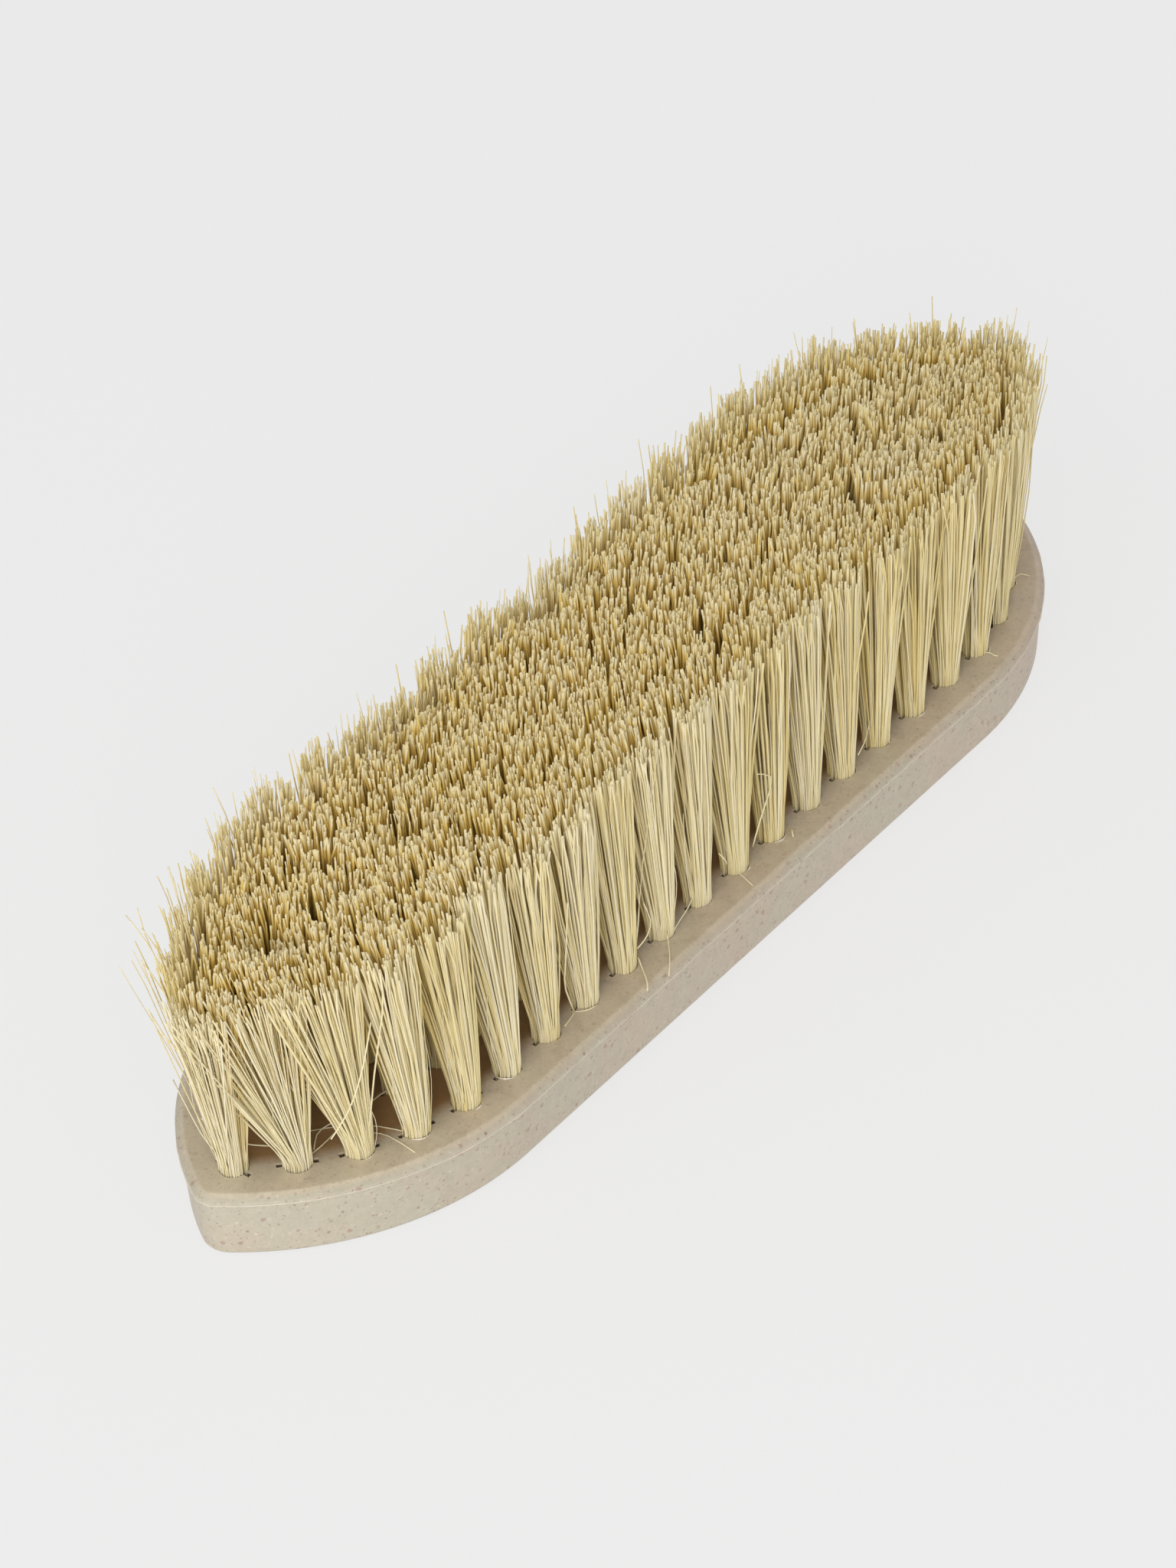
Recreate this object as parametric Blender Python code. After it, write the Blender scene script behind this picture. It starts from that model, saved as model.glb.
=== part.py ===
"""Mane and tail brush, lying on its back with the bristles up.

A boat-shaped block, moulded in one piece, has rows of blind holes in its face. Each hole holds a tuft: a bundle
of plant fibre folded in two round a flat wire anchor, whose ends bite into the wall of the hole, so that two legs
of fibre stand up side by side. The tufts of the outer ring are separate pieces in their drilled holes. Those of
the inner rows stand on strips of the block's face, let into pockets.

Metres, +Z up. The origin is under the middle of the block, on the flat back. X runs along the brush.
"""

from math import acos, atan2, copysign, cos, pi, sin, sqrt

import bmesh
import bpy
from mathutils import Matrix, Vector

# The block
BLOCK_LENGTH = 0.2000
BLOCK_WIDTH = 0.0504
BLOCK_THICKNESS = 0.0113
TAPER_RADIUS = 0.0490  # of the curved sides towards each tip, seen from above
TIP_RADIUS = 0.0035
BACK_TIP_RADIUS = 0.0055  # the tips are rounder at the back than at the lip
BACK_EDGE_RADIUS = 0.0010
WALL_DRAFT = 0.0006  # the wall leans in by this much down to the back
LIP_STEP = 0.0004  # the upper mould half stands proud of the wall
LIP_HEIGHT = 0.0006
RIM_WIDTH = 0.0013  # sloping band between the lip and the face
RIM_DROP = 0.0009

# The holes and their rows
HOLE_DIAMETER = 0.0043
HOLE_DEPTH = 0.0075
HOLE_PITCH = 0.00915
OUTER_ROW_INSET = 0.0066  # from the block's outline to the outer ring of holes
ROW_GAP = 0.0093

# The wire anchors
WIRE_THICKNESS = 0.0005
WIRE_HEIGHT = 0.0019
WIRE_BITE = 0.0005  # how far each end of the wire reaches into the wall of the hole

# The tufts
BRISTLE_HEIGHT = 0.0345  # from the face to the trimmed ends
NECK_HEIGHT = 0.0010  # the bundle stays tight this far above the face
TIP_LEAN = 0.0042  # the tufts at the two tips lean outwards by this much, and the rest in proportion
SIDE_LEAN = 0.0022  # those of the outer ring's straight sides lean in by this much
TOP_CLEARANCE = 0.0006  # between the trimmed ends of neighbouring tufts
STRAND_GAP = 0.0005  # between the ends of the strands of one tuft
STRANDS_ALONG = 3  # strands in each leg of a tuft of the outer ring
ROOT_ROWS = 3  # across a tuft's root: a leg, the wire, and the other leg

# The strips that carry the inner rows
STRIP_WIDTH = 0.0030
STRIP_THICKNESS = 0.0020
STRIP_ROOT = 0.0028  # length of a tuft's root along its strip
STRIPS_A_ROW = 3
LEGS = 2  # of each tuft on a strip, one to each side of the row

SEAT_GAP = 0.0003  # between pieces that touch on the real brush
ON_LINE = 0.00001  # what lies nearer than this to a line is on it
TAPER_STEPS = 12
TIP_STEPS = 4
EDGE_STEPS = 3
HOLE_STEPS = 6  # on each half of a hole, between the two wire slots

HALF_WIDTH = BLOCK_WIDTH / 2
TIP_X = BLOCK_LENGTH / 2 - TIP_RADIUS
TAPER_X = TIP_X - sqrt((TAPER_RADIUS - TIP_RADIUS) ** 2 - (TAPER_RADIUS - HALF_WIDTH) ** 2)
TAPER_Y = TAPER_RADIUS - HALF_WIDTH  # the near side's curves turn about (+-TAPER_X, TAPER_Y)
LIP_FOOT = BLOCK_THICKNESS - RIM_DROP - LIP_HEIGHT
INNER_ROW_INSET = OUTER_ROW_INSET + ROW_GAP
OUTER_TIP_X = TAPER_X + sqrt((TAPER_RADIUS - OUTER_ROW_INSET) ** 2 - TAPER_Y**2)
FAN_ALONG = 1 + TIP_LEAN / OUTER_TIP_X
FAN_ACROSS = 1 - SIDE_LEAN / (HALF_WIDTH - OUTER_ROW_INSET)
TOP_RADIUS = (min(HOLE_PITCH, ROW_GAP * FAN_ACROSS) - TOP_CLEARANCE) / 2
HALF_TURN = Matrix.Rotation(pi, 4, "Z")


def clear_scene():
    for old in list(bpy.data.objects):
        bpy.data.objects.remove(old)


def new_collection(name):
    collection = bpy.data.collections.new(name)
    bpy.context.scene.collection.children.link(collection)
    return collection


def new_material(name, colour, roughness):
    material = bpy.data.materials.new(name)
    material.use_nodes = True
    shader = material.node_tree.nodes["Principled BSDF"]
    shader.inputs["Base Color"].default_value = (*colour, 1)
    shader.inputs["Roughness"].default_value = roughness
    shader.inputs["Metallic"].default_value = 0
    return material


def add_object(name, bm, material, collection):
    bmesh.ops.recalc_face_normals(bm, faces=bm.faces)
    mesh = bpy.data.meshes.new(name)
    bm.to_mesh(mesh)
    bm.free()
    mesh.materials.append(material)
    obj = bpy.data.objects.new(name, mesh)
    collection.objects.link(obj)
    return obj


def extrude(bm, faces):
    """Extrudes these faces as one region and gives the new ones; a flat sheet becomes a closed solid."""
    edges = list(dict.fromkeys(edge for face in faces for edge in face.edges))
    raised = bmesh.ops.extrude_face_region(bm, geom=list(faces) + edges)["geom"]
    return [item for item in raised if isinstance(item, bmesh.types.BMFace)]


def corners(faces):
    return list({vert for face in faces for vert in face.verts})


def raise_to(bm, faces, height):
    """Extrudes these faces as one region, up to this height, and gives the new ones."""
    raised = extrude(bm, faces)
    for vert in corners(raised):
        vert.co.z = height
    return raised


def outline(inset, tip_radius):
    """The block seen from above, with these tips and drawn in by inset: one quarter of arcs, mirrored twice."""
    tip_x = TAPER_X + sqrt((TAPER_RADIUS - tip_radius) ** 2 - TAPER_Y**2)
    taper_turn = atan2(tip_x - TAPER_X, TAPER_Y)
    quarter = []
    for step in range(TAPER_STEPS + 1):
        angle = taper_turn * step / TAPER_STEPS
        radius = TAPER_RADIUS - inset
        quarter.append((TAPER_X + radius * sin(angle), TAPER_Y - radius * cos(angle)))
    for step in range(1, TIP_STEPS + 1):
        angle = taper_turn + (pi / 2 - taper_turn) * step / TIP_STEPS
        radius = tip_radius - inset
        quarter.append((tip_x + radius * sin(angle), -radius * cos(angle)))
    right = quarter + [(x, -y) for x, y in reversed(quarter[:-1])]
    return right + [(-x, -y) for x, y in right]


def row_end(inset):
    """Length of a row from the middle of the near side to where it meets the brush's long axis."""
    return TAPER_X + (TAPER_RADIUS - inset) * acos(TAPER_Y / (TAPER_RADIUS - inset))


def row_place(inset, distance):
    """Where a row is, at this distance from the middle of the near side, as a matrix on the face.

    Its X runs along the row and its -Y points outwards.
    """
    side = 1 if distance >= 0 else -1
    radius = TAPER_RADIUS - inset
    turn = max(abs(distance) - TAPER_X, 0) / radius
    x = min(abs(distance), TAPER_X) + radius * sin(turn)
    y = TAPER_Y - radius * cos(turn)
    return Matrix.Translation((side * x, y, BLOCK_THICKNESS)) @ Matrix.Rotation(side * turn, 4, "Z")


def inner_place(distance):
    return row_place(INNER_ROW_INSET, distance)


def middle_place(distance):
    return Matrix.Translation((distance, 0, BLOCK_THICKNESS))


def tip_place(inset):
    """The hole that a row ends in, on the long axis at the right tip, facing the tip."""
    x = row_place(inset, row_end(inset)).translation.x
    return Matrix.Translation((x, 0, BLOCK_THICKNESS)) @ Matrix.Rotation(pi / 2, 4, "Z")


def row_distances(inset, first):
    """Distances of a row's holes from its middle: at the pitch along the straight, then evenly round to the tip."""
    straight = []
    distance = first
    while distance <= TAPER_X:
        straight.append(distance)
        distance += HOLE_PITCH
    rest = row_end(inset) - straight[-1]
    steps = max(round(rest / HOLE_PITCH), 1)
    half = straight + [straight[-1] + rest * step / steps for step in range(1, steps)]
    return [-distance for distance in reversed(half) if distance > 0] + half


def block_levels():
    """(inset, tip radius, height) of each ring of the block's side, from the back up to the face."""
    foot = LIP_STEP + WALL_DRAFT
    levels = []
    for step in range(EDGE_STEPS + 1):
        angle = pi / 2 * step / EDGE_STEPS
        height = BACK_EDGE_RADIUS * (1 - cos(angle))
        rounder = (BACK_TIP_RADIUS - TIP_RADIUS) * (1 - height / LIP_FOOT)
        levels.append((foot + BACK_EDGE_RADIUS * (1 - sin(angle)), TIP_RADIUS + rounder, height))
    lip_and_face = [(LIP_STEP, LIP_FOOT), (0, LIP_FOOT), (0, LIP_FOOT + LIP_HEIGHT), (RIM_WIDTH, BLOCK_THICKNESS)]
    return levels + [(inset, TIP_RADIUS, height) for inset, height in lip_and_face]


def build_block(material, collection):
    """The back is one flat face, raised level by level to the shape of each ring."""
    levels = block_levels()
    bm = bmesh.new()
    face = bm.faces.new([bm.verts.new((x, y, 0)) for x, y in outline(*levels[0][:2])])
    for inset, tip_radius, height in levels[1:]:
        face = extrude(bm, [face])[0]
        for vert, (x, y) in zip(face.verts, outline(inset, tip_radius)):
            vert.co = (x, y, height)
    return add_object("block", bm, material, collection)


def sink(bm, points, depth):
    """A closed cutter: this outline, from just above the face down to depth below it."""
    above = Vector((0, 0, SEAT_GAP))
    face = bm.faces.new([bm.verts.new(point + above) for point in points])
    bmesh.ops.translate(bm, verts=corners(extrude(bm, [face])), vec=(0, 0, -depth - SEAT_GAP))


def hole_outline(place):
    """A drilled hole with the two slots that the wire anchor cuts in its wall on the way down."""
    radius = HOLE_DIAMETER / 2
    slot_half = WIRE_THICKNESS / 2 + SEAT_GAP
    slot_end = radius + WIRE_BITE + SEAT_GAP
    start = atan2(slot_half, sqrt(radius**2 - slot_half**2))
    half = [(slot_end, -slot_half), (slot_end, slot_half)]
    for step in range(HOLE_STEPS + 1):
        angle = start + (pi - 2 * start) * step / HOLE_STEPS
        half.append((radius * cos(angle), radius * sin(angle)))
    points = half + [(-x, -y) for x, y in half]
    return [place @ Vector((x, y, 0)) for x, y in points]


def strip_stations(row, distances):
    """Where a strip's cross-sections are: its two ends, and both ends and the middle of each tuft's root."""
    half_root = STRIP_ROOT / 2
    stations = [distances[0] - STRIP_ROOT]
    for distance in distances:
        stations += [distance - half_root, distance, distance + half_root]
    stations.append(distances[-1] + STRIP_ROOT)
    return [row(station) for station in stations]


def pocket_outline(row, distances, turned):
    """The plan of the pocket that a strip lies in, with room for it all round."""
    places = strip_stations(row, distances)
    places[0] = places[0] @ Matrix.Translation((-SEAT_GAP, 0, 0))
    places[-1] = places[-1] @ Matrix.Translation((SEAT_GAP, 0, 0))
    half = STRIP_WIDTH / 2 + SEAT_GAP
    outer = [turned @ place @ Vector((0, -half, 0)) for place in places]
    inner = [turned @ place @ Vector((0, half, 0)) for place in places]
    return outer + inner[::-1]


def trimmed_end(place):
    """The middle of a tuft's trimmed end, as a matrix turned like its hole."""
    x, y, z = place.translation
    end = Vector((x * FAN_ALONG, y * FAN_ACROSS, z + BRISTLE_HEIGHT))
    return Matrix.Translation(end) @ place.to_3x3().to_4x4()


def raise_strands(bm, faces, place, flare):
    """Draws each of these root faces out into a strand that ends on the trimmed top, spread by flare."""
    into_hole = place.inverted()
    end = trimmed_end(place)
    for raised in bmesh.ops.extrude_discrete_faces(bm, faces=faces)["faces"]:
        middle = into_hole @ raised.calc_center_median()
        for vert in raised.verts:
            corner = (into_hole @ vert.co).xy * flare
            if corner.length > TOP_RADIUS:
                corner *= TOP_RADIUS / corner.length
            away = middle.xy * flare - corner
            corner += away.normalized() * min(STRAND_GAP / sqrt(2), away.length / 2)
            vert.co = end @ Vector((*corner, 0))


def root_corner(along, across):
    """A corner of the root's grid, from shares of -1 to 1 along the wire and across it.

    The outermost ones lie on the round side of the bundle.
    """
    radius = HOLE_DIAMETER / 2 - SEAT_GAP
    x = along * radius / sqrt(2)
    on_wire = abs(across) < 2 / ROOT_ROWS
    y = copysign(WIRE_THICKNESS / 2 if on_wire else sqrt(radius**2 - x**2), across)
    if abs(along) > 1 - ON_LINE:
        x = copysign(sqrt(radius**2 - y**2), along)
    return x, y


def build_tuft(name, place, material, collection):
    """A tuft in its own hole: the bundle's root with the wire anchor through its foot, and two legs of strands."""
    foot = BLOCK_THICKNESS - HOLE_DEPTH + SEAT_GAP
    bm = bmesh.new()
    bmesh.ops.create_grid(bm, x_segments=STRANDS_ALONG, y_segments=ROOT_ROWS, size=1)
    for vert in bm.verts:
        vert.co = place @ Vector((*root_corner(vert.co.x, vert.co.y), 0))
        vert.co.z = foot

    def off_wire(face):
        return abs((place.inverted() @ face.calc_center_median()).y)

    sheet = list(bm.faces)
    top = raise_to(bm, sheet, foot + WIRE_HEIGHT)
    sides = [face for face in bm.faces if face not in sheet and face not in top]
    top = raise_to(bm, top, BLOCK_THICKNESS + NECK_HEIGHT)
    wire_ends = [side for side in sides if off_wire(side) < ON_LINE]
    for end in bmesh.ops.extrude_discrete_faces(bm, faces=wire_ends)["faces"]:
        for vert in end.verts:
            local = place.inverted() @ vert.co
            local.x = copysign(HOLE_DIAMETER / 2 + WIRE_BITE, local.x)
            vert.co = place @ local

    legs = [face for face in top if off_wire(face) > WIRE_THICKNESS / 2]
    flare = TOP_RADIUS / (HOLE_DIAMETER / 2 - SEAT_GAP)
    raise_strands(bm, legs, place, flare)
    return add_object(name, bm, material, collection)


def build_strip(name, row, distances, turned, material, collection):
    """A strip of the block's face with the tufts that stand on it, two strands to each leg."""
    stations = strip_stations(row, distances)
    bm = bmesh.new()
    bmesh.ops.create_grid(bm, x_segments=len(stations) - 1, y_segments=LEGS, size=1)
    for vert in bm.verts:
        station = stations[round((vert.co.x + 1) / 2 * (len(stations) - 1))]
        vert.co = turned @ station @ Vector((0, vert.co.y * STRIP_WIDTH / 2, -STRIP_THICKNESS))
    top = raise_to(bm, list(bm.faces), BLOCK_THICKNESS)
    flare = TOP_RADIUS / (STRIP_WIDTH / 2)
    for distance in distances:
        place = turned @ row(distance)
        roots = [face for face in top if (face.calc_center_median() - place.translation).length < STRIP_ROOT / 2]
        top = [face for face in top if face not in roots]
        raise_strands(bm, roots, place, flare)
    return add_object(name, bm, material, collection)


def split_row(distances):
    """The tufts of a row shared out over its strips."""
    size = -(-len(distances) // STRIPS_A_ROW)
    return [distances[start : start + size] for start in range(0, len(distances), size)]


def main():
    clear_scene()
    brush = new_collection("mane_and_tail_brush")
    cutters = new_collection("cutters")
    composite = new_material("straw_composite", (0.60, 0.53, 0.43), 0.55)
    fibre = new_material("plant_fibre", (0.80, 0.68, 0.42), 0.60)

    block = build_block(composite, brush)

    # Holes of the outer ring, and the hole at each end of the inner ring
    outer = row_distances(OUTER_ROW_INSET, 0)
    tufts = {}
    for number, distance in enumerate(outer, 1):
        place = row_place(OUTER_ROW_INSET, distance)
        tufts[f"tuft_near_{number:02d}"] = place
        tufts[f"tuft_far_{number:02d}"] = HALF_TURN @ place
    for label, inset in (("outer", OUTER_ROW_INSET), ("inner", INNER_ROW_INSET)):
        tufts[f"tuft_{label}_tip_right"] = tip_place(inset)
        tufts[f"tuft_{label}_tip_left"] = HALF_TURN @ tip_place(inset)

    # Strips of the inner ring's two sides, whose tufts stand between the outer ring's, and of the middle row
    inner = row_distances(INNER_ROW_INSET, HOLE_PITCH / 2)
    middle_reach = tip_place(INNER_ROW_INSET).translation.x - HOLE_PITCH
    middle_half = int(middle_reach // HOLE_PITCH)
    middle = [HOLE_PITCH * step for step in range(-middle_half, middle_half + 1)]
    strips = {}
    for number, share in enumerate(split_row(inner), 1):
        strips[f"inner_near_strip_{number}"] = (inner_place, share, Matrix.Identity(4))
        strips[f"inner_far_strip_{number}"] = (inner_place, share, HALF_TURN)
    for number, share in enumerate(split_row(middle), 1):
        strips[f"middle_strip_{number}"] = (middle_place, share, Matrix.Identity(4))

    bm = bmesh.new()
    for place in tufts.values():
        sink(bm, hole_outline(place), HOLE_DEPTH)
    for row, share, turned in strips.values():
        sink(bm, pocket_outline(row, share, turned), STRIP_THICKNESS + SEAT_GAP)
    cutter = add_object("holes_and_pockets", bm, composite, cutters)
    cutter.hide_render = True
    cutter.display_type = "WIRE"
    cut = block.modifiers.new("drill", "BOOLEAN")
    cut.operation = "DIFFERENCE"
    cut.solver = "EXACT"
    cut.object = cutter

    for name, place in tufts.items():
        build_tuft(name, place, fibre, brush)
    for name, (row, share, turned) in strips.items():
        build_strip(name, row, share, turned, fibre, brush)


main()
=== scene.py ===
"""Looks of a mane and tail brush that lies on its back: its moulded block, wire anchors and plant fibre."""

from math import acos, atan2, ceil, cos, pi, radians, sin, sqrt
from random import Random

import bmesh
import bpy
from mathutils import Matrix, Vector, noise


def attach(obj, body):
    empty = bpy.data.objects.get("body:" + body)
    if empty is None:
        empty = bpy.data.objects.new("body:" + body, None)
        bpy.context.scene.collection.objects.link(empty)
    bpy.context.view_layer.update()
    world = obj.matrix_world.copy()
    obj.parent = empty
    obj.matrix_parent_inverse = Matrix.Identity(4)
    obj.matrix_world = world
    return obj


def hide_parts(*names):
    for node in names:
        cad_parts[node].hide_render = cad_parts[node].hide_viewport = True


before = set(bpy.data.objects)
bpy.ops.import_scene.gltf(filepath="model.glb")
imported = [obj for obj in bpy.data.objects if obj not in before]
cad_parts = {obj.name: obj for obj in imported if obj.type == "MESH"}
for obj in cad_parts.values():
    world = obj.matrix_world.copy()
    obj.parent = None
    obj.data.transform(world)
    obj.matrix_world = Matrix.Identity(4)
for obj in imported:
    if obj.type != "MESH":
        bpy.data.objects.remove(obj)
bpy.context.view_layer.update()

# The block is one injection moulding of straw fibre and plastic. It is flat on its back, its upper mould half
# stands a hair proud of the wall, and a thin line of flash is left where the halves met. The blind holes are
# drilled into its face, and each wire anchor cuts a slot in both sides of its hole as it is driven in.
BLOCK_LENGTH = 0.2000
BLOCK_WIDTH = 0.0504
BLOCK_THICKNESS = 0.0113
TAPER_RADIUS = 0.0490
TIP_RADIUS = 0.0035
BACK_TIP_RADIUS = 0.0055  # the tips are rounder at the back than at the lip
BACK_EDGE_RADIUS = 0.0010
WALL_DRAFT = 0.0006
LIP_STEP = 0.0004
LIP_HEIGHT = 0.0006
RIM_WIDTH = 0.0013
RIM_DROP = 0.0009
EDGE_ROUNDING = 0.00012
FLASH_HEIGHT = 0.00011
FLASH_REACH = 0.00012
HOLE_DIAMETER = 0.0043
HOLE_DEPTH = 0.0075
HOLE_PITCH = 0.00915
OUTER_ROW_INSET = 0.0066
ROW_GAP = 0.0093
RIM_BURR = 0.00010
WIRE_THICKNESS = 0.0005
WIRE_BITE = 0.0005
SLOT_TEAR = 0.0003  # how much longer than the wire its slot is
SEAT_GAP = 0.0003
SHARP_FROM = 14  # degrees between two faces

STRAIGHT_STEPS = 60
TAPER_STEPS = 44
TIP_STEPS = 10
EDGE_STEPS = 8
WALL_STEPS = 6
HOLE_STEPS = 16

HALF_WIDTH = BLOCK_WIDTH / 2
TIP_X = BLOCK_LENGTH / 2 - TIP_RADIUS
TAPER_X = TIP_X - sqrt((TAPER_RADIUS - TIP_RADIUS) ** 2 - (TAPER_RADIUS - HALF_WIDTH) ** 2)
TAPER_Y = TAPER_RADIUS - HALF_WIDTH
INNER_ROW_INSET = OUTER_ROW_INSET + ROW_GAP
LIP_FOOT = BLOCK_THICKNESS - RIM_DROP - LIP_HEIGHT
HALF_TURN = Matrix.Rotation(pi, 4, "Z")


def outline(inset, tip_radius):
    """The block's plan, drawn in by inset: a quarter's side, taper and tip, and the rest by symmetry."""
    tip_x = TAPER_X + sqrt((TAPER_RADIUS - tip_radius) ** 2 - TAPER_Y**2)
    taper_turn = atan2(tip_x - TAPER_X, TAPER_Y)
    quarter = [(TAPER_X * step / STRAIGHT_STEPS, inset - HALF_WIDTH) for step in range(STRAIGHT_STEPS)]
    for step in range(TAPER_STEPS + 1):
        angle = taper_turn * step / TAPER_STEPS
        radius = TAPER_RADIUS - inset
        quarter.append((TAPER_X + radius * sin(angle), TAPER_Y - radius * cos(angle)))
    for step in range(1, TIP_STEPS + 1):
        angle = taper_turn + (pi / 2 - taper_turn) * step / TIP_STEPS
        radius = tip_radius - inset
        quarter.append((tip_x + radius * sin(angle), -radius * cos(angle)))
    right = quarter + [(x, -y) for x, y in reversed(quarter[1:-1])] + [(0, HALF_WIDTH - inset)]
    return right[:-1] + [(-x, -y) for x, y in right[:-1]]


def row_end(inset):
    """How far along its row from the middle a row of this inset reaches the tip."""
    return TAPER_X + (TAPER_RADIUS - inset) * acos(TAPER_Y / (TAPER_RADIUS - inset))


def row_place(inset, distance):
    """A spot on a row of holes, as a matrix on the face: X runs along the row and -Y points outwards."""
    side = 1 if distance >= 0 else -1
    radius = TAPER_RADIUS - inset
    turn = max(abs(distance) - TAPER_X, 0) / radius
    x = min(abs(distance), TAPER_X) + radius * sin(turn)
    y = TAPER_Y - radius * cos(turn)
    return Matrix.Translation((side * x, y, BLOCK_THICKNESS)) @ Matrix.Rotation(side * turn, 4, "Z")


def tip_place(inset):
    """The spot of the hole at the right tip, turned so that its -Y points out along the block."""
    x = row_place(inset, row_end(inset)).translation.x
    return Matrix.Translation((x, 0, BLOCK_THICKNESS)) @ Matrix.Rotation(pi / 2, 4, "Z")


def row_distances(inset, first):
    """Where a row's holes stand: at the pitch along the straight side, evenly spread along the taper."""
    straight = [first]
    while straight[-1] + HOLE_PITCH <= TAPER_X:
        straight.append(straight[-1] + HOLE_PITCH)
    rest = row_end(inset) - straight[-1]
    steps = max(round(rest / HOLE_PITCH), 1)
    half = straight + [straight[-1] + rest * step / steps for step in range(1, steps)]
    return [-distance for distance in reversed(half) if distance > 0] + half


def shares(places, count):
    """The places in this many runs of about one length."""
    size = ceil(len(places) / count)
    return [places[start : start + size] for start in range(0, len(places), size)]


# Every hole's place, under the name of the frame's node whose tufts stand in it. The near row's places serve the
# far side too, turned half round. Each row inside the outer ones is in strips.
STRIPS_A_ROW = 3

holes = {}
for number, distance in enumerate(row_distances(OUTER_ROW_INSET, 0), 1):
    holes[f"tuft_near_{number:02d}"] = [row_place(OUTER_ROW_INSET, distance)]
    holes[f"tuft_far_{number:02d}"] = [HALF_TURN @ row_place(OUTER_ROW_INSET, distance)]
for label, inset in (("outer", OUTER_ROW_INSET), ("inner", INNER_ROW_INSET)):
    holes[f"tuft_{label}_tip_right"] = [tip_place(inset)]
    holes[f"tuft_{label}_tip_left"] = [HALF_TURN @ tip_place(inset)]
inner_distances = row_distances(INNER_ROW_INSET, HOLE_PITCH / 2)
inner_row = [row_place(INNER_ROW_INSET, distance) for distance in inner_distances]
for number, share in enumerate(shares(inner_row, STRIPS_A_ROW), 1):
    holes[f"inner_near_strip_{number}"] = share
    holes[f"inner_far_strip_{number}"] = [HALF_TURN @ place for place in share]
middle_half = int((tip_place(INNER_ROW_INSET).translation.x - HOLE_PITCH) // HOLE_PITCH)
middle_steps = range(-middle_half, middle_half + 1)
middle_row = [Matrix.Translation((HOLE_PITCH * step, 0, BLOCK_THICKNESS)) for step in middle_steps]
for number, share in enumerate(shares(middle_row, STRIPS_A_ROW), 1):
    holes[f"middle_strip_{number}"] = share
hole_places = [place for share in holes.values() for place in share]


def extrude(bm, faces):
    """Extrudes these faces as one region and gives the new ones; a flat sheet becomes a closed solid."""
    edges = list(dict.fromkeys(edge for face in faces for edge in face.edges))
    raised = bmesh.ops.extrude_face_region(bm, geom=list(faces) + edges)["geom"]
    return [item for item in raised if isinstance(item, bmesh.types.BMFace)]


def hole_outline(place):
    """A drilled hole at this place, with the slot that its wire anchor cuts in both sides."""
    radius = HOLE_DIAMETER / 2
    slot_half = WIRE_THICKNESS / 2 + SEAT_GAP / 2
    slot_end = radius + WIRE_BITE + SLOT_TEAR
    start = atan2(slot_half, sqrt(radius**2 - slot_half**2))
    half = [(slot_end, -slot_half), (slot_end, slot_half)]
    for step in range(HOLE_STEPS + 1):
        angle = start + (pi - 2 * start) * step / HOLE_STEPS
        half.append((radius * cos(angle), radius * sin(angle)))
    points = half + [(-x, -y) for x, y in half]
    return [place @ Vector((x, y, 0)) for x, y in points]


def add_piece(name, bm, materials, nodes=()):
    """Makes the mesh a piece of the brush that rides on its one body and stands for these nodes."""
    mesh = bpy.data.meshes.new(name)
    bm.to_mesh(mesh)
    bm.free()
    for material in materials:
        mesh.materials.append(material)
    piece = bpy.data.objects.new(name, mesh)
    bpy.context.scene.collection.objects.link(piece)
    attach(piece, "root")
    if nodes:
        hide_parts(*nodes)


def new_group(name, inputs, outputs):
    """An empty shader node group with these sockets, and its two end nodes."""
    group = bpy.data.node_groups.new(name, "ShaderNodeTree")
    for label, kind, value in inputs:
        socket = group.interface.new_socket(label, in_out="INPUT", socket_type=kind)
        if value is not None:
            socket.default_value = value
    for label, kind in outputs:
        group.interface.new_socket(label, in_out="OUTPUT", socket_type=kind)
    return group, group.nodes.new("NodeGroupInput"), group.nodes.new("NodeGroupOutput")


def add_node(tree, kind, inputs=None, **settings):
    """A shader node with these settings, and with these inputs set to a value or linked to a socket."""
    node = tree.nodes.new(kind)
    for label, value in settings.items():
        setattr(node, label, value)
    for label, value in (inputs or {}).items():
        if isinstance(value, bpy.types.NodeSocket):
            tree.links.new(value, node.inputs[label])
        else:
            node.inputs[label].default_value = value
    return node


def mix_colour(tree, factor, first, second, blend="MIX"):
    sockets = {0: factor, 6: first, 7: second}
    return add_node(tree, "ShaderNodeMix", sockets, data_type="RGBA", blend_type=blend).outputs[2]


def calc(tree, operation, first, second, clamp=False):
    sockets = {0: first, 1: second}
    return add_node(tree, "ShaderNodeMath", sockets, operation=operation, use_clamp=clamp).outputs[0]


def map_range(tree, value, start, end, low=0.0, high=1.0):
    """Turns the values from start to end into low to high, and stops at both."""
    sockets = {"Value": value, "From Min": start, "From Max": end, "To Min": low, "To Max": high}
    return add_node(tree, "ShaderNodeMapRange", sockets).outputs[0]


def new_material(name):
    """A material, its node tree and its shader."""
    material = bpy.data.materials.new(name)
    material.use_nodes = True
    tree = material.node_tree
    return material, tree, tree.nodes["Principled BSDF"]


# Flecks of husk in the composite: some of the cells of a cell pattern hold one ragged fleck each
RAGGED_BY = (0.00055, 0.00030, 0.00030)  # a fleck's edge wanders this far
SMALLEST_FLECK = 0.35  # added to each cell's own chance, so that no fleck is too small to see
FLECK_EDGE = 0.08

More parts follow.
